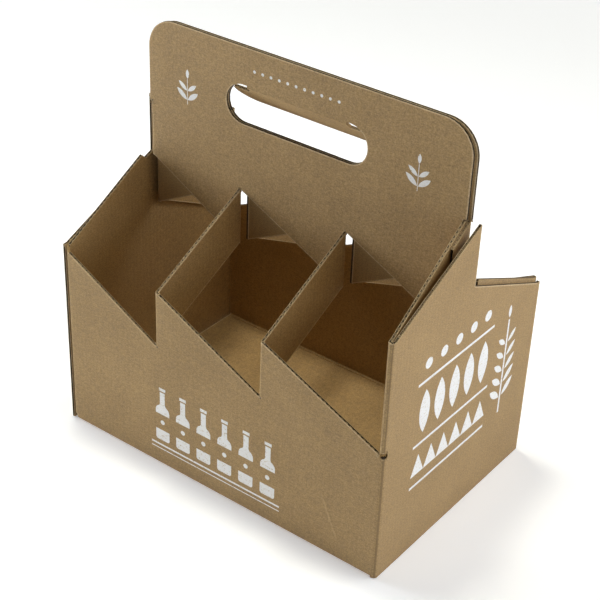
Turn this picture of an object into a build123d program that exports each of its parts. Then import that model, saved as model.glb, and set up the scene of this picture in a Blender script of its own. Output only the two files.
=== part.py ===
from build123d import *
import os

# A bottle carrier glued up from two equal die-cut blanks of corrugated board. Each blank has a
# long panel with a sawtooth top, an end panel, a glue flap, a bottom flap, three divider straps
# folded out of the teeth, and one ply of the handle sheet that the straps hang from, with a tab
# that folds round the other half's end strap. The back half is the front half turned half way
# round. Its bottom flap lies inside the other, so its walls stand a little higher.
# X runs along the carrier, the front is at -Y, and the origin is on the floor below the middle.

# Board
board = 1.6
crease_radius = 1.0
flat_fold_gap = 0.4
seam_lap = 0.5
overrun = 5.0

# Walls
length = 220.0
depth = 145.0
foot = 81.0
band = 33.7
first_cell = 67.6
cell_pitch = 72.0
relief_radius = 2.0
end_lift = 0.3
end_edge_inset = 0.3
end_step_drop = 2.0
end_corner_rise = 1.0
back_lift = 3.1

# Glue flap inside the other half's end panel
glue_flap_gap = 5.4
glue_flap_lift = 4.0
glue_fold_rise = 3.5
front_glue_rise = 2.7
front_glue_clip = 5.0
back_glue_rise = -1.4
back_glue_clip = 1.0

# Bottom
outer_ply_inset = 4.0
inner_ply_inset = 3.1

# Handle sheet
sheet_inset = 6.0
sheet_shift = -2.1
sheet_setback = 2.0
strap_shift = -4.3
handle_rise = 50.9
handle_corner = 18.0
tab_reach = 17.0
tab_gap = 0.1

# Hand hole
hole_width = 93.0
hole_height = 22.9
hole_drop = 21.4
hole_shift = -3.7

# Hand-hole flap
neck_width = 65.0
neck_drop = 5.0
flap_kerf = 0.6
hinge_gap = 0.3
flap_swing = 48.0

# Worked-out sizes
half_turn = 180
nose_round_share = 0.97
fold_radius = crease_radius + board
crest = foot + band
shoulder = crest + band
peak = shoulder + band
right = length / 2
back = depth / 2
flap_face = board - right
panel_left = flap_face + fold_radius
panel_right = right - fold_radius
panel_front = fold_radius - back
fold_1 = first_cell - right
fold_2 = fold_1 + cell_pitch
nose_width = 2 * board + flat_fold_gap
nose_radius = nose_round_share * nose_width / 2
sheet_edge = right - sheet_inset
tab_edge = sheet_edge + board + tab_gap
strap_front = -board - crease_radius
strap_slope_share = band / (strap_front - panel_front)
sheet_fold_1 = first_cell - sheet_setback - sheet_edge
sheet_fold_2 = sheet_fold_1 + cell_pitch
handle_top = peak + handle_rise
hole_x = sheet_shift + hole_shift
hole_z = handle_top - hole_drop - hole_height / 2


def bent_strip(plane, route, radii, reach):
    """Board whose outer liner follows a route on the plane, extruded by reach."""
    with BuildPart() as strip:
        with BuildSketch(plane):
            with BuildLine():
                FilletPolyline(*route, radius=radii)
                offset(amount=board, side=Side.RIGHT)
            make_face()
        extrude(amount=reach)
    return strip.part


def space_above(plane, outline, reach):
    """Space to cut away, extruded by reach from a closed outline on the plane."""
    with BuildPart() as space:
        with BuildSketch(plane):
            with BuildLine():
                Polyline(*outline, close=True)
            make_face()
        extrude(amount=reach)
    return space.part


def strap(route, radii, height):
    """Divider strap: an upright folded strip, cut to a band that rises towards the handle sheet."""
    upright = bent_strip(Plane.XY.offset(foot), route, radii, band + height)
    with BuildPart() as cut_strap:
        add(upright)
        with BuildSketch(Plane.YZ):
            with BuildLine():
                Polyline(
                    (-back - overrun, foot),
                    (panel_front, foot),
                    (strap_front, crest),
                    (overrun, crest),
                    (overrun, crest + height),
                    (strap_front, crest + height),
                    (panel_front, foot + height),
                    (-back - overrun, foot + height),
                    close=True,
                )
            make_face()
        extrude(amount=length, both=True, mode=Mode.INTERSECT)
    return cut_strap.part


def cell_strap(panel_fold, sheet_fold):
    """Strap between two cells, from a tooth of the long panel to the handle sheet."""
    route = [
        (panel_fold + fold_radius + seam_lap, -back),
        (panel_fold, -back),
        (sheet_fold, -board),
        (sheet_fold - crease_radius - seam_lap, -board),
    ]
    return strap(route, [fold_radius, crease_radius], band)


def end_strap(sheet_right):
    """Strap folded flat behind the end panel's front edge, with twice the height of the others."""
    inner_face = sheet_right - board
    route = [
        (right, panel_front + nose_width),
        (right, -back),
        (right - nose_width, -back),
        (inner_face, -board),
        (inner_face - crease_radius - seam_lap, -board),
    ]
    return strap(route, [nose_radius, nose_radius, crease_radius], 2 * band)


def handle_ply(side, top, tab_top):
    """One ply of the handle sheet, with a strap fold at the right of each tooth."""
    left_edge = side * sheet_shift - tab_edge
    right_edge = side * sheet_shift + sheet_edge
    end_fold = right_edge - board - crease_radius
    left_1 = side * strap_shift + sheet_fold_1 - crease_radius
    left_2 = left_1 + cell_pitch
    square_corners = 12 * [0]
    with BuildPart() as ply:
        with BuildSketch(Plane.XZ):
            with BuildLine():
                FilletPolyline(
                    (left_edge, top),
                    (left_edge, tab_top),
                    (left_edge + fold_radius, tab_top),
                    (left_edge + fold_radius, shoulder),
                    (left_1, crest),
                    (left_1, shoulder),
                    (left_1 + fold_radius, shoulder),
                    (left_2, crest),
                    (left_2, shoulder),
                    (left_2 + fold_radius, shoulder),
                    (end_fold, crest),
                    (end_fold, peak),
                    (right_edge, peak),
                    (right_edge, top),
                    radius=[handle_corner] + square_corners + [handle_corner],
                    close=True,
                )
            make_face()
        extrude(amount=board)
    return ply.part


def handle_tab(side, top):
    """Tab on the free edge of the handle ply, folded back round the other half's end strap."""
    fold = side * sheet_shift - tab_edge
    other_face = sheet_edge - side * sheet_shift - board
    lean_share = (right - nose_width - other_face) / (back - board)
    far = tab_reach + overrun
    route = [
        (fold + fold_radius + seam_lap, -board),
        (fold, -board),
        (fold - lean_share * tab_reach, tab_reach),
    ]
    upright = bent_strip(Plane.XY.offset(shoulder), route, [fold_radius], top - shoulder)
    above_tab = space_above(
        Plane.YZ.offset(-right - overrun),
        [(0, top), (far, top - strap_slope_share * far), (far, top + overrun), (0, top + overrun)],
        length,
    )
    with BuildPart() as tab:
        add(upright)
        add(above_tab, mode=Mode.SUBTRACT)
    return tab.part


def space_above_teeth(glue_fold_top):
    """Space above the sawtooth top of the long panel and the top of its glue fold."""
    return space_above(
        Plane.XZ.offset(-panel_front),
        [
            (-right - overrun, glue_fold_top),
            (flap_face, glue_fold_top),
            (panel_left, crest),
            (fold_1, foot),
            (fold_1 + fold_radius, foot),
            (fold_1 + fold_radius, crest),
            (fold_2, foot),
            (fold_2 + fold_radius, foot),
            (fold_2 + fold_radius, crest),
            (panel_right, foot),
            (right + overrun, foot),
            (right + overrun, peak + overrun),
            (-right - overrun, peak + overrun),
        ],
        fold_radius + overrun,
    )


def space_above_glue_flap(glue_fold_top, tip_top, clip):
    """Space above the glue flap, which rises to a tip and is clipped off behind it."""
    return space_above(
        Plane.YZ.offset(-right - overrun),
        [
            (-back - overrun, glue_fold_top),
            (panel_front, glue_fold_top),
            (-glue_flap_gap - clip, tip_top),
            (-glue_flap_gap, tip_top - clip),
            (overrun, tip_top - clip),
            (overrun, peak + overrun),
            (-back - overrun, peak + overrun),
        ],
        board + fold_radius + overrun,
    )


# Space above the end panel, which rises to a peak and steps down behind the handle sheet
above_end = space_above(
    Plane.YZ.offset(panel_right),
    [
        (-back - overrun, shoulder),
        (panel_front, shoulder),
        (0, peak),
        (0, shoulder - end_step_drop),
        (-panel_front, crest + end_corner_rise),
        (back + overrun, crest + end_corner_rise),
        (back + overrun, peak + overrun),
        (-back - overrun, peak + overrun),
    ],
    fold_radius + overrun,
)

# Relief hole where the square corner fold turns into the flat fold of the end strap
with BuildPart() as relief:
    with BuildSketch(Plane((right, -back, foot), z_dir=(1, -1, 0))):
        Circle(relief_radius)
    extrude(amount=fold_radius + board, both=True)


def half(side, lift, bottom, bottom_reach, glue_rise, glue_clip):
    """One folded blank in the front position, before it is lifted to its place."""
    glue_fold_top = crest + glue_fold_rise - lift
    long_panel = bent_strip(
        Plane.YZ.offset(panel_right),
        [(bottom_reach, bottom - lift), (-back, bottom - lift), (-back, crest)],
        [fold_radius],
        panel_left - panel_right,
    )
    end_panel = bent_strip(
        Plane.XY.offset(end_lift - lift),
        [(right, back - end_edge_inset), (right, -back), (panel_right - seam_lap, -back)],
        [fold_radius],
        peak - end_lift + lift,
    )
    glue_flap = bent_strip(
        Plane.XY.offset(glue_flap_lift - lift),
        [(panel_left + seam_lap, -back), (flap_face, -back), (flap_face, -glue_flap_gap)],
        [fold_radius],
        peak - glue_flap_lift + lift,
    )
    with BuildPart() as blank:
        add(long_panel)
        add(end_panel)
        add(glue_flap)
        add(space_above_teeth(glue_fold_top), mode=Mode.SUBTRACT)
        add(above_end, mode=Mode.SUBTRACT)
        tip_top = shoulder + glue_rise - lift
        add(space_above_glue_flap(glue_fold_top, tip_top, glue_clip), mode=Mode.SUBTRACT)
        add(handle_ply(side, handle_top - lift, peak - lift))
        add(handle_tab(side, peak - lift))
        add(cell_strap(fold_1, sheet_fold_1 + side * strap_shift))
        add(cell_strap(fold_2, sheet_fold_2 + side * strap_shift))
        add(end_strap(sheet_edge + side * sheet_shift))
        add(relief.part, mode=Mode.SUBTRACT)
        with BuildSketch(Plane.XZ):
            with Locations((side * hole_x, hole_z - lift)):
                SlotOverall(hole_width, hole_height)
        extrude(amount=board, mode=Mode.SUBTRACT)
    return blank.part


# Front half, with the outer ply of the bottom and the front ply of the handle
with BuildPart() as front_half:
    add(half(1, 0, 0, back - outer_ply_inset, front_glue_rise, front_glue_clip))

# Back half, with the inner ply of the bottom and the back ply of the handle
with BuildPart() as back_half:
    back_blank = half(-1, back_lift, board, back - inner_ply_inset, back_glue_rise, back_glue_clip)
    with Locations((0, 0, back_lift)):
        add(back_blank, rotation=(0, 0, half_turn))

# Flap cut from the hand hole, hung on a crease along its top edge and swung out to the back
hinge_y = -board / 2
hinge_z = hole_z + hole_height / 2 - hinge_gap - board / 2
hinge_plane = Plane((hole_x, hinge_y, hinge_z), x_dir=(1, 0, 0), z_dir=(0, -1, 0))
flap_drop = hinge_z - hole_z
with BuildPart() as handle_flap:
    with BuildSketch(hinge_plane.rotated((flap_swing, 0, 0))):
        with Locations((0, -flap_drop)):
            SlotOverall(hole_width - 2 * flap_kerf, hole_height - 2 * flap_kerf)
        with Locations((0, -neck_drop)):
            Rectangle(hole_width, hole_height, align=(Align.CENTER, Align.MIN), mode=Mode.SUBTRACT)
        Rectangle(neck_width, flap_drop, align=(Align.CENTER, Align.MAX))
    extrude(amount=board / 2, both=True)
    with BuildSketch(Plane((hole_x - neck_width / 2, hinge_y, hinge_z), z_dir=(1, 0, 0))):
        Circle(board / 2)
    extrude(amount=neck_width)

os.makedirs("parts", exist_ok=True)
for node, name in ((front_half, "front_half"), (back_half, "back_half"), (handle_flap, "handle_flap")):
    node.part.label = name
    export_step(node.part, f"parts/{name}.step")
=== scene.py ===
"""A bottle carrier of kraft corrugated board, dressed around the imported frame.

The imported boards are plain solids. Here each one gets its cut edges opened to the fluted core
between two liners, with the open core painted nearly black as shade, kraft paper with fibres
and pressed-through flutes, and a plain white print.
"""

import math
import random

import bmesh
import bpy
from mathutils import Matrix, Vector
from mathutils.bvhtree import BVHTree
from mathutils.geometry import area_tri


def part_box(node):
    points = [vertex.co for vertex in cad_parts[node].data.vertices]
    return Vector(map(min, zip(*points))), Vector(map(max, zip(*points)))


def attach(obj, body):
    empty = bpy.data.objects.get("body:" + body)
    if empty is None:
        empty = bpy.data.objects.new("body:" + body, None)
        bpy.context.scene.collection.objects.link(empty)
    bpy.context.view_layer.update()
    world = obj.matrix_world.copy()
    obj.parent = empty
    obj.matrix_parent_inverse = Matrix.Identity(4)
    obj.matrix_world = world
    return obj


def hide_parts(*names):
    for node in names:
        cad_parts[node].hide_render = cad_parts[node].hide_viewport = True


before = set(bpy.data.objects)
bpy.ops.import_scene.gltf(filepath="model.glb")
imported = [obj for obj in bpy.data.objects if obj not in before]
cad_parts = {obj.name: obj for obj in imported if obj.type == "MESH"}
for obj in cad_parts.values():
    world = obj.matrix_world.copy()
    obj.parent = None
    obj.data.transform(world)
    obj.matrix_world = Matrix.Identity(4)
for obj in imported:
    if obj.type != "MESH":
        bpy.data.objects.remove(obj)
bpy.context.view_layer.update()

mm = 0.001
x_axis = Vector((1, 0, 0))
y_axis = Vector((0, 1, 0))
z_axis = Vector((0, 0, 1))

# Camera, fitted to the straight edges of the box in the photograph
camera_place = Vector((0.41741, -0.56593, 0.53939))
camera_azimuth = math.radians(-36.339)
camera_elevation = math.radians(32.42)
camera_roll = math.radians(2.358)
camera_lens_mm = 89.47
sensor_mm = 36.0

# Studio, where the floor's glow rises with the distance to that of the backdrop
floor_size = 8.0
floor_white = (0.9, 0.91, 0.95, 1)
unlit = (0, 0, 0, 1)
near_floor = 0.6
far_floor = 1.5
near_glow = 0.33
far_glow = 0.95
floor_roughness = 0.8
world_strength = 0.004
light_target = Vector((0, 0, 0.1))
neutral = (1, 1, 1)
warm = (1, 0.97, 0.8)
cool = (0.94, 1.06, 1.34)
daylight = (0.98, 1.03, 1.05)
softboxes = (
    # name, place in metres, size in metres, power in watts, colour
    ("left_low", (-0.75, -0.28, 0.25), 0.35, 3.05, daylight),
    ("left_high", (-0.8, -0.1, 0.9), 0.5, 2.5, daylight),
    ("right_low", (0.98, 0.15, 0.3), 0.6, 1.6, cool),
    ("right_high", (0.8, 0.1, 0.8), 0.5, 1.8, warm),
    ("back_right", (0.7, 0.6, 1.0), 0.5, 3.3, neutral),
    ("top_left", (-0.35, 0.14, 1.7), 0.3, 11.0, warm),
    ("top_right", (0.2, 0.08, 1.8), 0.3, 4.4, warm),
)

# Boards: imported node, name for its pieces, body, seed for where its flutes start
boards = (
    ("front_half", "front", "carrier", 1),
    ("back_half", "back", "carrier", 2),
    ("handle_flap", "flap", "flap", 3),
)

# Corrugated board
board = 1.6 * mm
liner = 0.22 * mm
lip_reach = 2 * liner
groove_depth = 1.1 * mm
groove_slope = 0.02 * mm
groove_reach = 1.2 * groove_depth
shortest_groove = 3 * mm
rim_width = 0.6 * mm
rim_proud = 0.02 * mm
rim_sunk = 0.1 * mm
medium = 0.32 * mm
medium_sink = 0.2 * mm
crushed_sink = 0.55 * mm
flute_pitch = 2.8 * mm
flute_swing = (board - medium) / 2 - liner
flute_step = 0.35 * mm
shortest_fluted = 16 * mm
least_fluted_share = 0.25
liner_slot, lip_slot, core_shade_slot = range(3)

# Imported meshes: how their faces are read
weld = 0.002 * mm
through_board = 1.5 * board
flat_angle = math.radians(0.6)
strip_angle = math.radians(35)
crisp_angle = math.radians(32)

# Zones of the carrier, and the share of a direction that counts as facing that way
mostly = 0.7
end_zone = 105 * mm
outer_end = 109 * mm
front_zone = -71.5 * mm

# Paper and ink, as linear colours: dark, middle and light
liner_tones = ((0.27, 0.164, 0.058), (0.40, 0.249, 0.094), (0.52, 0.341, 0.142))
lip_tones = ((0.36, 0.25, 0.125), (0.52, 0.385, 0.22), (0.64, 0.50, 0.31))
# Rims along the cut edges: lighter partly as worn paper, partly as a painted edge highlight
rim_wear_and_highlight_tones = ((0.42, 0.29, 0.145), (0.60, 0.43, 0.235), (0.72, 0.55, 0.33))
# Painted shade: the open core between the liners, nearly black as the cavities in shadow
painted_core_shade_tones = ((0.03, 0.016, 0.005), (0.06, 0.034, 0.012), (0.12, 0.072, 0.028))
flute_tones = ((0.26, 0.17, 0.078), (0.42, 0.29, 0.145), (0.55, 0.40, 0.22))
ink_tones = ((0.62, 0.53, 0.40), (0.92, 0.89, 0.84), (0.97, 0.96, 0.95))

# Paper's pattern: scales and detail of the noise, weights in a tone from 0 to 1, and the shift
# that brings the tone's mean to the middle
cloud_scale = 28.0
cloud_detail = 3.0
cloud_weight = 0.55
fibre_scale = 420.0
fibre_detail = 4.0
fibre_weight = 1.2
fibre_stretch = (1.0, 1.0, 4.0)
fibre_low = 0.3
fibre_high = 0.7
fibre_height = 0.05 * mm
grain_scale = 1500.0
grain_detail = 2.0
grain_weight = 1.8
fleck_scale = 800.0
fleck_detail = 1.0
fleck_from = 0.62
fleck_to = 0.75
fleck_shade = 0.3
tone_shift = 0.5 - (cloud_weight + fibre_weight + grain_weight) / 2
paper_roughness = (0.7, 0.9)
paper_specular = 0.9

# Marks on the liners: wear on the folds, lightened further as a painted highlight on their round, and
# flutes that press through, with painted light and shade along their wave
wear_from = 0.2
wear_to = 0.5
wear_and_painted_highlight = 0.35
least_wear = 0.3
# Stripes of painted light and shade along the flutes' wave; the flutes' height itself is a bump
painted_wave_shading = 0.06
wave_height = 0.02 * mm

# Painted shade: a dark line down the middle of the upright folds at the carrier's corners, where little
# light reaches
corner_from = 0.41
corner_to = 0.48
corner_shade = 0.85

# Crease raised by a knock in the lower right of the front panel, as a line in the panel's plane: a
# bump, with a painted highlight along it
knock_top = Vector((72.3 * mm, 41.5 * mm))
knock_foot = Vector((86 * mm, 11.5 * mm))
knock_half_width = 1.3 * mm
knock_full_share = 0.6
knock_height = 0.22 * mm
knock_painted_highlight = 0.26

# White ink, which is thin where the fibres and its own grain are low
ink_grain_scale = 1100.0
ink_grain_detail = 3.0
ink_thin = 0.33
ink_full = 0.52
ink_roughness = (0.55, 0.75)
ink_bump = 0.04 * mm
ink_proud = 0.04 * mm
ink_sunk = 0.1 * mm

# Crease that the hand hole's flap hangs on, and the paper that bridges its gap
hole_middle_mm = -5.8
flap_crease_y = -0.8 * mm
flap_crease_z = 210.5 * mm
flap_crease_reach = 1.4 * mm
bridge_half = 32.5 * mm
bridge_top = 212.2 * mm
bridge_foot = 210.8 * mm
bridge_proud = 0.03 * mm

# Bead that the inner paper rolls up to inside the fold between the back wall and the floor
bead_half = 104 * mm
bead_back = 70.2 * mm
bead_front = 68.6 * mm
bead_floor = 3.2 * mm
bead_rise = 0.55 * mm
bead_shoulder = 0.4 * mm

# Print on the front, in millimetres on the panel: six bottles on two rules
front_half_width = 46
front_rules = ((14, 15.2), (11.4, 12))
bottle_count = 6
bottle_first = -37.5
bottle_step = 15
bottle_half = 5
bottle_foot = 18
bottle_corner = 1.5
band_foot = 25.2
band_top = 36
label_radius = 1.5
shoulder_height = 38.16
shoulder_radius = 4
shoulder_turn = 70
neck_half = 1.8
collar_height = 43.16
lip_height = 51.12
cap_half = 2.34
cap_foot = 52.02
cap_top = 54

# Print on the end, in millimetres on the panel: rows between rules, and a sprig beside them
rows_left = -46
rows_right = 26
rule_height = 1.6
column_count = 5
column_first = -38
column_step = 14
end_dot_height = 120
end_dot_radius = 3.2
leaves_rule = 109
end_leaf_foot = 77
end_leaf_length = 27
end_leaf_width = 9.5
peaks_rule = 70
peak_count = 6
peak_width = 12
peak_foot = 51
peak_top = 64
lowest_rule = 43
end_sprig_root = (42, 44)
end_sprig_stem = 62
end_sprig_reach = 13
end_sprig_pairs = 5

# Print on the handle, in millimetres on the sheet: dots over the hole and a sprig at each side
handle_dots_aside = 5
handle_dot_step = 5.5
handle_dot_height = 221
handle_dot_radius = 0.9
handle_sprig_places = (-80, 72)
handle_sprig_foot = 188
handle_sprig_stem = 15
handle_sprig_reach = 9
handle_sprig_pairs = 2

# Sprig in shares of its stem and of its lowest leaves, with angles in degrees
stem_half = 0.012
first_pair = 0.18
pairs_span = 0.72
leaf_shrink = 0.35
leaf_width = 0.34
leaf_angle = 38
tip_place = 1.02
tip_length = 0.6
tip_width = 0.24
upright = 90
arc_step = math.radians(8)


def make_camera():
    """The camera at the photograph's place, with its slight roll."""
    forward = Vector((
        math.sin(camera_azimuth) * math.cos(camera_elevation),
        math.cos(camera_azimuth) * math.cos(camera_elevation),
        -math.sin(camera_elevation),
    ))
    level = forward.cross(z_axis).normalized()
    above = level.cross(forward)
    right = math.cos(camera_roll) * level + math.sin(camera_roll) * above
    up = math.cos(camera_roll) * above - math.sin(camera_roll) * level
    data = bpy.data.cameras.new("camera")
    data.lens = camera_lens_mm
    data.sensor_width = sensor_mm
    camera = bpy.data.objects.new("camera", data)
    turn = Matrix((right, up, -forward)).transposed()
    camera.matrix_world = Matrix.Translation(camera_place) @ turn.to_4x4()
    bpy.context.scene.collection.objects.link(camera)
    bpy.context.scene.camera = camera


def area_light(name, place, size, power, colour):
    """A square softbox at a place, facing the carrier."""
    data = bpy.data.lights.new(name, "AREA")
    data.shape = "SQUARE"
    data.size = size
    data.energy = power
    data.color = colour
    light = bpy.data.objects.new(name, data)
    turn = (light_target - Vector(place)).to_track_quat("-Z", "Y")
    light.matrix_world = Matrix.Translation(place) @ turn.to_matrix().to_4x4()
    bpy.context.scene.collection.objects.link(light)


def make_world():
    """Nearly dark surroundings, so that the softboxes and the pale floor do the lighting."""
    world = bpy.data.worlds.new("studio")
    world.use_nodes = True
    world.node_tree.nodes["Background"].inputs["Strength"].default_value = world_strength
    bpy.context.scene.world = world


def make_floor():
    """A pale floor that glows more with the distance from the carrier."""
    bpy.ops.mesh.primitive_plane_add(size=floor_size, location=(0, 0, 0))
    floor = bpy.context.object
    floor.name = "floor"
    pale, tree, shader = new_material("pale_floor")
    put(tree, shader.inputs["Base Color"], floor_white)
    put(tree, shader.inputs["Roughness"], floor_roughness)
    put(tree, shader.inputs["Emission Color"], floor_white)
    distance = tree.nodes.new("ShaderNodeVectorMath")
    distance.operation = "LENGTH"
    put(tree, distance.inputs[0], tree.nodes.new("ShaderNodeTexCoord").outputs["Object"])
    glow = ranged(tree, distance.outputs["Value"], near_floor, far_floor, near_glow, far_glow)
    put(tree, shader.inputs["Emission Strength"], glow)
    floor.data.materials.append(pale)


def make_backdrop():
    """A pale dome round the floor, which is seen behind the carrier but doesn't light it."""
    bpy.ops.mesh.primitive_uv_sphere_add(radius=floor_size / 2, location=(0, 0, 0))
    dome = bpy.context.object
    dome.name = "backdrop"
    dome.visible_diffuse = False
    dome.visible_glossy = False
    dome.visible_shadow = False
    pale, tree, shader = new_material("pale_backdrop")
    put(tree, shader.inputs["Base Color"], unlit)
    put(tree, shader.inputs["Emission Color"], floor_white)
    put(tree, shader.inputs["Emission Strength"], far_glow)
    dome.data.materials.append(pale)


def make_stage():
    """The floor, the backdrop and softboxes: low ones at the sides, high ones above and behind."""
    make_floor()
    make_backdrop()
    for box in softboxes:
        area_light(*box)
    bpy.context.scene.view_settings.view_transform = "Standard"


def put(tree, socket, value):
    """Links a socket to another socket, or sets it to a value."""
    if isinstance(value, bpy.types.NodeSocket):
        tree.links.new(value, socket)
    else:
        socket.default_value = value


def math_node(tree, operation, *values):
    """The result of a sum on sockets and numbers."""
    node = tree.nodes.new("ShaderNodeMath")
    node.operation = operation
    for socket, value in zip(node.inputs, values):
        put(tree, socket, value)
    return node.outputs[0]


def components(tree, vector):
    """The three components of a vector."""
    node = tree.nodes.new("ShaderNodeSeparateXYZ")
    put(tree, node.inputs[0], vector)
    return node.outputs


def noise(tree, vector, scale, detail):
    """Fractal noise about a half."""
    node = tree.nodes.new("ShaderNodeTexNoise")
    node.inputs["Scale"].default_value = scale
    node.inputs["Detail"].default_value = detail
    put(tree, node.inputs["Vector"], vector)
    return node.outputs[0]


def ranged(tree, value, low, high, out_low, out_high):
    """A value carried smoothly from one range to another."""
    node = tree.nodes.new("ShaderNodeMapRange")
    node.interpolation_type = "SMOOTHSTEP"
    put(tree, node.inputs["Value"], value)
    node.inputs["From Min"].default_value = low
    node.inputs["From Max"].default_value = high
    node.inputs["To Min"].default_value = out_low
    node.inputs["To Max"].default_value = out_high
    return node.outputs["Result"]


def stretched(tree, vector, scale):
    """Coordinates stretched by a scale along each axis."""
    node = tree.nodes.new("ShaderNodeMapping")
    node.inputs["Scale"].default_value = scale
    put(tree, node.inputs["Vector"], vector)
    return node.outputs[0]


def three_tones(tree, value, dark, middle, light):
    """A colour from dark over middle to light as the value goes from 0 to 1."""
    node = tree.nodes.new("ShaderNodeValToRGB")
    ramp = node.color_ramp
    ramp.elements[0].color = (*dark, 1)
    ramp.elements[1].color = (*light, 1)
    ramp.elements.new(0.5).color = (*middle, 1)
    put(tree, node.inputs[0], value)
    return node.outputs[0]


def bump(tree, height, distance, under=None):
    """A normal raised by a height between 0 and 1, over another bump if one is given."""
    node = tree.nodes.new("ShaderNodeBump")
    node.inputs["Distance"].default_value = distance
    put(tree, node.inputs["Height"], height)
    if under is not None:
        put(tree, node.inputs["Normal"], under)
    return node.outputs[0]


def new_material(name):
    """A node material, its tree and its shader."""
    material = bpy.data.materials.new(name)
    material.use_nodes = True
    tree = material.node_tree
    return material, tree, tree.nodes["Principled BSDF"]


def fold_wear_and_highlight(tree, normal):
    """How far a surface is turned between two main directions, as on the round of a fold, where the
    liner is lightened partly as wear and partly as a painted highlight.
    """
    x, y, z = components(tree, normal)
    turned = math_node(tree, "ABSOLUTE", math_node(tree, "MULTIPLY", x, y))
    tipped = math_node(tree, "ABSOLUTE", math_node(tree, "MULTIPLY", y, z))
    return ranged(tree, math_node(tree, "ADD", turned, tipped), wear_from, wear_to, 0.0, 1.0)


def painted_corner_shade(tree, place, normal):
    """1 along the middle of the corners' upright folds, where they are darkened as painted shade, 0
    away from it.
    """
    sides = components(tree, normal)
    axes = components(tree, place)
    turned = math_node(tree, "ABSOLUTE", math_node(tree, "MULTIPLY", sides[0], sides[1]))
    line = ranged(tree, turned, corner_from, corner_to, 0.0, 1.0)
    at_end = math_node(tree, "GREATER_THAN", math_node(tree, "ABSOLUTE", axes[0]), end_zone)
    return math_node(tree, "MULTIPLY", line, at_end)


def flute_wave(tree, place, normal):
    """The flutes' wave across a board, upright on walls and from front to back on the floor."""
    sides = components(tree, normal)
    axes = components(tree, place)
    faces_end = math_node(tree, "GREATER_THAN", math_node(tree, "ABSOLUTE", sides[0]), mostly)
    along_end = math_node(tree, "MULTIPLY", axes[1], faces_end)
    faces_front = math_node(tree, "SUBTRACT", 1.0, faces_end)
    along = math_node(tree, "MULTIPLY_ADD", axes[0], faces_front, along_end)
    wave = math_node(tree, "SINE", math_node(tree, "MULTIPLY", along, math.tau / flute_pitch))
    return math_node(tree, "MULTIPLY_ADD", wave, 0.5, 0.5)


def knock_crease(tree, place):
    """1 on the line of the crease in the front panel, 0 away from it."""
    x, y, z = components(tree, place)
    way = (knock_foot - knock_top).normalized()
    middle = (knock_foot + knock_top) / 2
    half_length = (knock_foot - knock_top).length / 2
    across = math_node(tree, "MULTIPLY_ADD", x, way.y, middle.x * -way.y + middle.y * way.x)
    across = math_node(tree, "ABSOLUTE", math_node(tree, "MULTIPLY_ADD", z, -way.x, across))
    along = math_node(tree, "MULTIPLY_ADD", x, way.x, middle.x * -way.x - middle.y * way.y)
    along = math_node(tree, "ABSOLUTE", math_node(tree, "MULTIPLY_ADD", z, way.y, along))
    line = ranged(tree, across, 0.0, knock_half_width, 1.0, 0.0)
    ends = ranged(tree, along, knock_full_share * half_length, half_length, 1.0, 0.0)
    front = math_node(tree, "LESS_THAN", y, front_zone)
    return math_node(tree, "MULTIPLY", front, math_node(tree, "MULTIPLY", line, ends))


def paper_fibre(tree, place):
    """The paper's fibres, which lie along the web."""
    return noise(tree, stretched(tree, place, fibre_stretch), fibre_scale, fibre_detail)


def paper_tone(tree, place, fibre):
    """The paper's tone: cloudy, with fibres, fine grain and dark flecks."""
    cloud = noise(tree, place, cloud_scale, cloud_detail)
    grain = noise(tree, place, grain_scale, grain_detail)
    speck = noise(tree, place, fleck_scale, fleck_detail)
    fleck = ranged(tree, speck, fleck_from, fleck_to, 0.0, 1.0)
    tone = math_node(tree, "MULTIPLY_ADD", cloud, cloud_weight, tone_shift)
    tone = math_node(tree, "MULTIPLY_ADD", fibre, fibre_weight, tone)
    tone = math_node(tree, "MULTIPLY_ADD", grain, grain_weight, tone)
    return math_node(tree, "MULTIPLY_ADD", fleck, -fleck_shade, tone)


def liner_marks(tree, place, normal, fibre, tone):
    """A liner's tone and normal: worn folds lightened with a painted highlight, painted shade down the
    corners' folds, flutes with painted light and shade, and the knock's crease with a painted
    highlight.
    """
    patchy = ranged(tree, fibre, fibre_low, fibre_high, least_wear, 1.0)
    worn = math_node(tree, "MULTIPLY", fold_wear_and_highlight(tree, normal), patchy)
    # Folds' rounds lightened: partly wear, partly a painted highlight
    tone = math_node(tree, "MULTIPLY_ADD", worn, wear_and_painted_highlight, tone)
    # Painted shade down the middle of the corners' upright folds
    crease = painted_corner_shade(tree, place, normal)
    tone = math_node(tree, "MULTIPLY_ADD", crease, -corner_shade, tone)
    wave = flute_wave(tree, place, normal)
    # Painted light and shade in stripes along the flutes' wave
    tone = math_node(tree, "MULTIPLY_ADD", wave, painted_wave_shading, tone)
    tone = math_node(tree, "SUBTRACT", tone, painted_wave_shading / 2)
    ridge = knock_crease(tree, place)
    # Painted highlight along the knock's raised crease
    tone = math_node(tree, "MULTIPLY_ADD", ridge, knock_painted_highlight, tone)
    pressed = bump(tree, wave, wave_height)
    return tone, bump(tree, ridge, knock_height, pressed)


def kraft(name, tones, marked=False):
    """Uncoated kraft paper in three tones, with a liner's marks if it has them."""
    material, tree, shader = new_material(name)
    coords = tree.nodes.new("ShaderNodeTexCoord")
    place = coords.outputs["Object"]
    fibre = paper_fibre(tree, place)
    tone = paper_tone(tree, place, fibre)
    pressed = None
    if marked:
        tone, pressed = liner_marks(tree, place, coords.outputs["Normal"], fibre, tone)
    rough = ranged(tree, fibre, fibre_low, fibre_high, *paper_roughness)
    put(tree, shader.inputs["Base Color"], three_tones(tree, tone, *tones))
    put(tree, shader.inputs["Roughness"], rough)
    put(tree, shader.inputs["Specular IOR Level"], paper_specular)
    put(tree, shader.inputs["Normal"], bump(tree, fibre, fibre_height, pressed))
    return material


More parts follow.
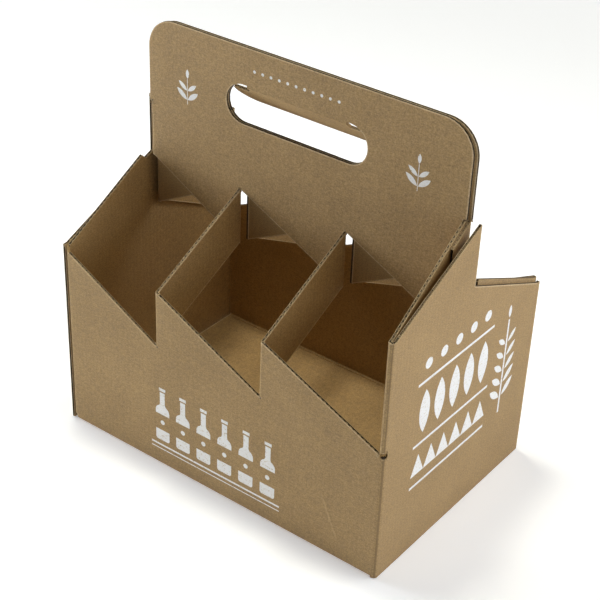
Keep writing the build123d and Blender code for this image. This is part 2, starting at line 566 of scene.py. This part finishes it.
def white_ink():
    """Thin white ink: the paper's fibres show through it in small specks."""
    material, tree, shader = new_material("white_ink")
    place = tree.nodes.new("ShaderNodeTexCoord").outputs["Object"]
    fibre = paper_fibre(tree, place)
    grain = noise(tree, place, ink_grain_scale, ink_grain_detail)
    cover = math_node(tree, "MULTIPLY_ADD", fibre, 0.5, math_node(tree, "MULTIPLY", grain, 0.5))
    shade = ranged(tree, cover, ink_thin, ink_full, 0.0, 1.0)
    rough = ranged(tree, fibre, fibre_low, fibre_high, *ink_roughness)
    put(tree, shader.inputs["Base Color"], three_tones(tree, shade, *ink_tones))
    put(tree, shader.inputs["Roughness"], rough)
    put(tree, shader.inputs["Normal"], bump(tree, fibre, ink_bump))
    return material


def new_piece(name, mesh, materials, body):
    """A piece from a bmesh, with its materials, riding on a body."""
    data = bpy.data.meshes.new(name)
    mesh.to_mesh(data)
    mesh.free()
    for material in materials:
        data.materials.append(material)
    piece = bpy.data.objects.new(name, data)
    bpy.context.scene.collection.objects.link(piece)
    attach(piece, body)
    return piece


def board_mesh(node):
    """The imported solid's mesh, welded and with its flat faces whole."""
    mesh = bmesh.new()
    mesh.from_mesh(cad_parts[node].data)
    bmesh.ops.remove_doubles(mesh, verts=mesh.verts, dist=weld)
    bmesh.ops.dissolve_limit(mesh, angle_limit=flat_angle, verts=mesh.verts, edges=mesh.edges)
    mesh.edges.index_update()
    mesh.faces.index_update()
    mesh.normal_update()
    return mesh


def inner_points(mesh):
    """For each face, the middle of its largest triangle, which is inside it whatever its outline."""
    largest = {}
    for corners in mesh.calc_loop_triangles():
        a, b, c = (corner.vert.co for corner in corners)
        area = area_tri(a, b, c)
        face = corners[0].face
        if area > largest.get(face, (0, None))[0]:
            largest[face] = (area, (a + b + c) / 3)
    return {face: point for face, (area, point) in largest.items()}


def cut_faces(mesh):
    """Faces where the board is cut through: seen from them, it goes on past its own thickness."""
    tree = BVHTree.FromBMesh(mesh)
    found = set()
    for face, point in inner_points(mesh).items():
        inward = -face.normal
        distance = tree.ray_cast(point + inward * weld, inward)[3]
        if distance is not None and distance > through_board:
            found.add(face)
    return found


def on_flap_crease(face):
    """Whether a face is on the round of the flap's crease, where the paper isn't cut."""
    middle = face.calc_center_median()
    return math.hypot(middle.y - flap_crease_y, middle.z - flap_crease_z) < flap_crease_reach


def take_group(first, left):
    """Takes a face, and all that run on from it with no sharp corner, out of the faces left."""
    left.discard(first)
    group = [first]
    for face in group:
        around = [other for edge in face.edges for other in edge.link_faces]
        for other in around:
            if other in left and other.normal.angle(face.normal) < strip_angle:
                left.discard(other)
                group.append(other)
    return group


def grouped(faces):
    """Faces in groups that run on from each other, in the mesh's order so that runs are alike."""
    left = set(faces)
    groups = []
    for face in sorted(faces, key=lambda f: f.index):
        if face in left:
            groups.append(take_group(face, left))
    return groups


def liner_edges(group, cut):
    """The edges where a cut strip meets a liner, with the liner's normal and the strip's own."""
    edges = {}
    for face in group:
        for edge in face.edges:
            liners = [other for other in edge.link_faces if other not in cut]
            if liners:
                edges[edge] = (liners[0].normal.copy(), face.normal.copy())
    return edges


def joined(edge, vert, edges):
    """How many of the edges go on from an edge at one of its corners."""
    return sum(other in edges for other in vert.link_edges if other is not edge)


def take_chain(edges):
    """Takes one chain out of the edges, from an end of it where it has one."""
    ends = [edge for edge in edges if sum(joined(edge, vert, edges) for vert in edge.verts) < 2]
    edge = min(ends or edges, key=lambda e: e.index)
    start = edge.verts[0]
    if joined(edge, start, edges) > 0:
        start = edge.verts[1]
    chain = []
    while edge is not None:
        end = edge.other_vert(start)
        chain.append((start.co.copy(), end.co.copy(), *edges.pop(edge)))
        start = end
        edge = next((other for other in start.link_edges if other in edges), None)
    return chain


def liner_chains(group, cut):
    """The edges of a cut strip where it meets a liner, in chains from end to end."""
    edges = liner_edges(group, cut)
    chains = []
    while edges:
        chains.append(take_chain(edges))
    return chains


def chain_length(chain):
    """The length of a chain of edges."""
    return sum((end - start).length for start, end, out, up in chain)


def flute_run(start, end, out):
    """How far an edge goes across the flutes."""
    way = end - start
    if abs(out.z) > mostly:
        return abs(way.x)
    return math.hypot(way.x, way.y)


def is_fluted(chain):
    """Whether a cut edge is long enough, and goes across the flutes enough, to show them."""
    length = chain_length(chain)
    run = sum(flute_run(start, end, out) for start, end, out, up in chain)
    return length > shortest_fluted and run > least_fluted_share * length


def flute_points(chain, phase):
    """Points of the fluted medium along a chain, each with its ways across the board and inward."""
    points = []
    for start, end, out, up in chain:
        run = flute_run(start, end, out)
        steps = max(1, math.ceil(run / flute_step))
        for step in range(steps + 1):
            share = step / steps
            swing = flute_swing * math.sin(math.tau * (phase + run * share / flute_pitch))
            place = start.lerp(end, share) - out * (board / 2 + swing)
            points.append((place, out, -up))
        phase += run / flute_pitch
    return points


def add_tube(mesh, sections):
    """A closed tube through sections that have as many corners each."""
    rings = [[mesh.verts.new(corner) for corner in section] for section in sections]
    count = len(rings[0])
    for one, two in zip(rings, rings[1:]):
        for corner in range(count):
            after = (corner + 1) % count
            mesh.faces.new((one[corner], one[after], two[after], two[corner]))
    mesh.faces.new(reversed(rings[0]))
    mesh.faces.new(rings[-1])


def medium_section(place, across, inward):
    """Section of the fluted medium in a cut edge, crushed deeper into the walls and the handle."""
    in_wall = abs(across.y) > mostly or abs(place.x) > end_zone
    sink = crushed_sink if in_wall else medium_sink
    near = place + inward * sink
    far = place + inward * (groove_depth + sink)
    half = across * medium / 2
    return near - half, near + half, far + half, far - half


def make_flutes(cut, seed):
    """The fluted medium in all cut edges of a board."""
    draw = random.Random(seed)
    flutes = bmesh.new()
    for group in grouped(cut):
        longest = max(liner_chains(group, cut), key=chain_length, default=[])
        if is_fluted(longest):
            points = flute_points(longest, draw.random())
            add_tube(flutes, [medium_section(*point) for point in points])
    bmesh.ops.recalc_face_normals(flutes, faces=flutes.faces)
    return flutes


def rim_section(place, out, up):
    """Section of the worn rim on a liner along a cut edge."""
    low = place - out * rim_sunk
    high = place + out * rim_proud
    top = up * rim_proud
    foot = up * rim_width
    return low - top, high - top, high - foot, low - foot


def is_worn(start, out, up):
    """Whether a cut edge has a worn rim: on the ends, only the outer slopes above a glue flap have."""
    on_end = abs(out.x) > mostly and abs(start.x) > end_zone
    by_glue_flap = abs(start.x) > outer_end and up.y * start.x > 0
    return by_glue_flap or not on_end


def make_rims(cut):
    """The worn rims of the liners along the cut edges of a board, lighter partly as worn paper and
    partly as a painted edge highlight.
    """
    rims = bmesh.new()
    for group in grouped(cut):
        for chain in liner_chains(group, cut):
            for start, end, out, up in chain:
                if is_worn(start, out, up):
                    add_tube(rims, [rim_section(start, out, up), rim_section(end, out, up)])
    bmesh.ops.recalc_face_normals(rims, faces=rims.faces)
    return rims


def inset(mesh, faces, thickness, depth, reach):
    """Insets a region of faces, and keeps each corner within reach of where it was."""
    before = {face: [vert.co.copy() for vert in face.verts] for face in faces}
    made = bmesh.ops.inset_region(
        mesh, faces=faces, thickness=thickness, depth=depth, use_even_offset=True
    )
    for face, places in before.items():
        for vert, place in zip(face.verts, places):
            move = vert.co - place
            if move.length > reach:
                vert.co = place + move * (reach / move.length)
    return made["faces"]


def open_strip(mesh, strip, cut):
    """Cuts a groove into a cut strip, if it is long enough, and leaves the two liners as lips; the
    groove's walls and floor take the core's painted shade.
    """
    for face in strip:
        face.material_index = lip_slot
    if max(map(chain_length, liner_chains(strip, cut)), default=0) < shortest_groove:
        return
    for face in inset(mesh, strip, liner, 0, lip_reach):
        face.material_index = lip_slot
    walls = inset(mesh, strip, groove_slope, -groove_depth, groove_reach)
    for face in [*walls, *strip]:
        face.material_index = core_shade_slot


def open_edges(mesh, cut):
    """Opens all cut edges of a board, and keeps its sharp edges crisp."""
    for face in mesh.faces:
        face.material_index = liner_slot
        face.smooth = True
    for strip in grouped(cut):
        open_strip(mesh, strip, cut)
    for edge in mesh.edges:
        edge.smooth = edge.is_manifold and edge.calc_face_angle(0) < crisp_angle


def dress(node, name, body, seed, sheet_papers, flute_paper, rim_highlight_paper):
    """Puts a board with open cut edges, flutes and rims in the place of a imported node."""
    mesh = board_mesh(node)
    cut = {face for face in cut_faces(mesh) if not on_flap_crease(face)}
    flutes = make_flutes(cut, seed)
    rims = make_rims(cut)
    open_edges(mesh, cut)
    sheet = new_piece(name + "_board", mesh, sheet_papers, body)
    even = sheet.modifiers.new("even_shading", "WEIGHTED_NORMAL")
    even.keep_sharp = True
    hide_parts(node)
    new_piece(name + "_flutes", flutes, [flute_paper], body)
    new_piece(name + "_rims", rims, [rim_highlight_paper], body)


def add_strip(name, left, right, corners, paper):
    """A straight strip of paper along the carrier, with a four-cornered section."""
    mesh = bmesh.new()
    add_tube(mesh, [[Vector((x, y, z)) for y, z in corners] for x in (left, right)])
    bmesh.ops.recalc_face_normals(mesh, faces=mesh.faces)
    new_piece(name, mesh, [paper], "carrier")


def make_bridge(paper):
    """The strip of paper over the crease that the flap hangs on."""
    middle = hole_middle_mm * mm
    front = -board - bridge_proud
    corners = (
        (front, bridge_foot),
        (-board, bridge_foot),
        (-board, bridge_top),
        (front, bridge_top),
    )
    add_strip("flap_bridge", middle - bridge_half, middle + bridge_half, corners, paper)


def make_bead(paper):
    """The rolled bead along the inside of the back wall's fold."""
    foot = bead_floor - rim_sunk
    top = bead_floor + bead_rise
    corners = (
        (bead_front, foot),
        (bead_back, foot),
        (bead_back - bead_shoulder, top),
        (bead_front + bead_shoulder, top),
    )
    add_strip("floor_bead", -bead_half, bead_half, corners, paper)


def make_boards():
    """The two blanks and the flap, in kraft paper."""
    liner_paper = kraft("kraft_liner", liner_tones, marked=True)
    sheet_papers = [liner_paper, kraft("cut_liner", lip_tones), kraft("board_core_shade", painted_core_shade_tones)]
    papers = (sheet_papers, kraft("fluted_medium", flute_tones), kraft("worn_rim_highlight", rim_wear_and_highlight_tones))
    for node, name, body, seed in boards:
        dress(node, name, body, seed, *papers)
    make_bridge(liner_paper)
    make_bead(liner_paper)


def arc(middle, radius, start, end):
    """Points on an arc, with angles in degrees."""
    start = math.radians(start)
    end = math.radians(end)
    steps = max(2, math.ceil(abs(end - start) / arc_step))
    angles = [start + (end - start) * step / steps for step in range(steps + 1)]
    return [(middle[0] + radius * math.cos(a), middle[1] + radius * math.sin(a)) for a in angles]


def bar(left, low, right, high):
    """A rectangle."""
    return [(left, low), (right, low), (right, high), (left, high)]


def dot(middle, radius):
    """A round dot."""
    return arc(middle, radius, 0, 360)[:-1]


def leaf(root, length, width, angle):
    """A pointed leaf from its root, between two arcs."""
    turn = math.radians(angle)
    bulge = (length * length / 4 + width * width / 4) / width
    half = math.degrees(math.asin(length / 2 / bulge))
    upper = arc((length / 2, width / 2 - bulge), bulge, 90 + half, 90 - half)
    lower = arc((length / 2, bulge - width / 2), bulge, -90 + half, -90 - half)
    outline = upper[:-1] + lower[:-1]
    return [
        (
            root[0] + u * math.cos(turn) - v * math.sin(turn),
            root[1] + u * math.sin(turn) + v * math.cos(turn),
        )
        for u, v in outline
    ]


def bottle_top(middle):
    """The shoulders and neck of a bottle, down to the bare band of its label."""
    left = middle - bottle_half
    right = middle + bottle_half
    return [
        (left, band_top),
        (right, band_top),
        *arc((right - shoulder_radius, shoulder_height), shoulder_radius, 0, shoulder_turn),
        (middle + neck_half, collar_height),
        (middle + neck_half, lip_height),
        (middle - neck_half, lip_height),
        (middle - neck_half, collar_height),
        *arc((left + shoulder_radius, shoulder_height), shoulder_radius, 180 - shoulder_turn, 180),
    ]


def bottle_base(middle):
    """The foot of a bottle, up to the bare band of its label."""
    left = middle - bottle_half
    right = middle + bottle_half
    corner = bottle_foot + bottle_corner
    return [
        (right, band_foot),
        (left, band_foot),
        *arc((left + bottle_corner, corner), bottle_corner, 180, 270),
        *arc((right - bottle_corner, corner), bottle_corner, 270, 360),
    ]


def bottle(middle):
    """A plain bottle in four parts, of which the last is a dot on its label."""
    cap = bar(middle - cap_half, cap_foot, middle + cap_half, cap_top)
    label = dot((middle, (band_top + band_foot) / 2), label_radius)
    return [bottle_top(middle), bottle_base(middle), cap, label]


def sprig(root, stem, reach, pairs):
    """An upright sprig: a thin stem with pairs of leaves and one leaf at its tip."""
    middle, foot = root
    thin = stem_half * stem
    shapes = [bar(middle - thin, foot, middle + thin, foot + stem)]
    for pair in range(pairs):
        knot = foot + stem * (first_pair + pairs_span * pair / pairs)
        size = reach * (1 - leaf_shrink * pair / pairs)
        shapes.append(leaf((middle + 2 * thin, knot), size, leaf_width * size, leaf_angle))
        shapes.append(leaf((middle - 2 * thin, knot), size, leaf_width * size, 180 - leaf_angle))
    tip = (middle, foot + tip_place * stem)
    shapes.append(leaf(tip, tip_length * reach, tip_width * reach, upright))
    return shapes


def front_row():
    """A row of bottles over two rules."""
    shapes = [bar(-front_half_width, low, front_half_width, high) for low, high in front_rules]
    for place in range(bottle_count):
        shapes += bottle(bottle_first + bottle_step * place)
    return shapes


def rule(low):
    """A rule under a row of the end's print."""
    return bar(rows_left, low, rows_right, low + rule_height)


def end_rows():
    """Rows of dots, upright leaves and peaks, each over a rule, with a tall sprig beside them."""
    columns = [column_first + column_step * place for place in range(column_count)]
    shapes = [dot((column, end_dot_height), end_dot_radius) for column in columns]
    shapes.append(rule(leaves_rule))
    for column in columns:
        shapes.append(leaf((column, end_leaf_foot), end_leaf_length, end_leaf_width, upright))
    shapes.append(rule(peaks_rule))
    for place in range(peak_count):
        left = rows_left + peak_width * place
        right = left + peak_width
        shapes.append([(left, peak_foot), (right, peak_foot), ((left + right) / 2, peak_top)])
    shapes.append(rule(lowest_rule))
    return shapes + sprig(end_sprig_root, end_sprig_stem, end_sprig_reach, end_sprig_pairs)


def handle_marks():
    """A row of dots over the hand hole and a small sprig at each side of it."""
    shapes = []
    for step in range(-handle_dots_aside, handle_dots_aside + 1):
        place = (hole_middle_mm + handle_dot_step * step, handle_dot_height)
        shapes.append(dot(place, handle_dot_radius))
    for place in handle_sprig_places:
        root = (place, handle_sprig_foot)
        shapes += sprig(root, handle_sprig_stem, handle_sprig_reach, handle_sprig_pairs)
    return shapes


def add_film(mesh, places, out):
    """A film of ink over a flat outline, with its foot sunk into the paper."""
    low = [mesh.verts.new(place - out * ink_sunk) for place in places]
    high = [mesh.verts.new(place + out * ink_proud) for place in places]
    mesh.faces.new(high)
    mesh.faces.new(reversed(low))
    for here in range(len(places)):
        after = (here + 1) % len(places)
        mesh.faces.new((low[here], low[after], high[after], high[here]))


def print_piece(name, shapes, origin, across, ink):
    """Prints flat shapes, in millimetres on an upright panel, as a thin film of ink."""
    mesh = bmesh.new()
    for outline in shapes:
        places = [origin + (across * u + z_axis * v) * mm for u, v in outline]
        add_film(mesh, places, across.cross(z_axis))
    bmesh.ops.recalc_face_normals(mesh, faces=mesh.faces)
    new_piece(name, mesh, [ink], "carrier")


def make_print():
    """White print: bottles on the front, rows and a sprig on the end, dots and sprigs on the handle."""
    ink = white_ink()
    low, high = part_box("front_half")
    front = Vector((0, low.y, 0))
    end = Vector((high.x, 0, 0))
    handle = Vector((0, -board, 0))
    print_piece("front_print", front_row(), front, x_axis, ink)
    print_piece("end_print", end_rows(), end, y_axis, ink)
    print_piece("handle_print", handle_marks(), handle, x_axis, ink)


make_boards()
make_print()
make_world()
make_stage()
make_camera()
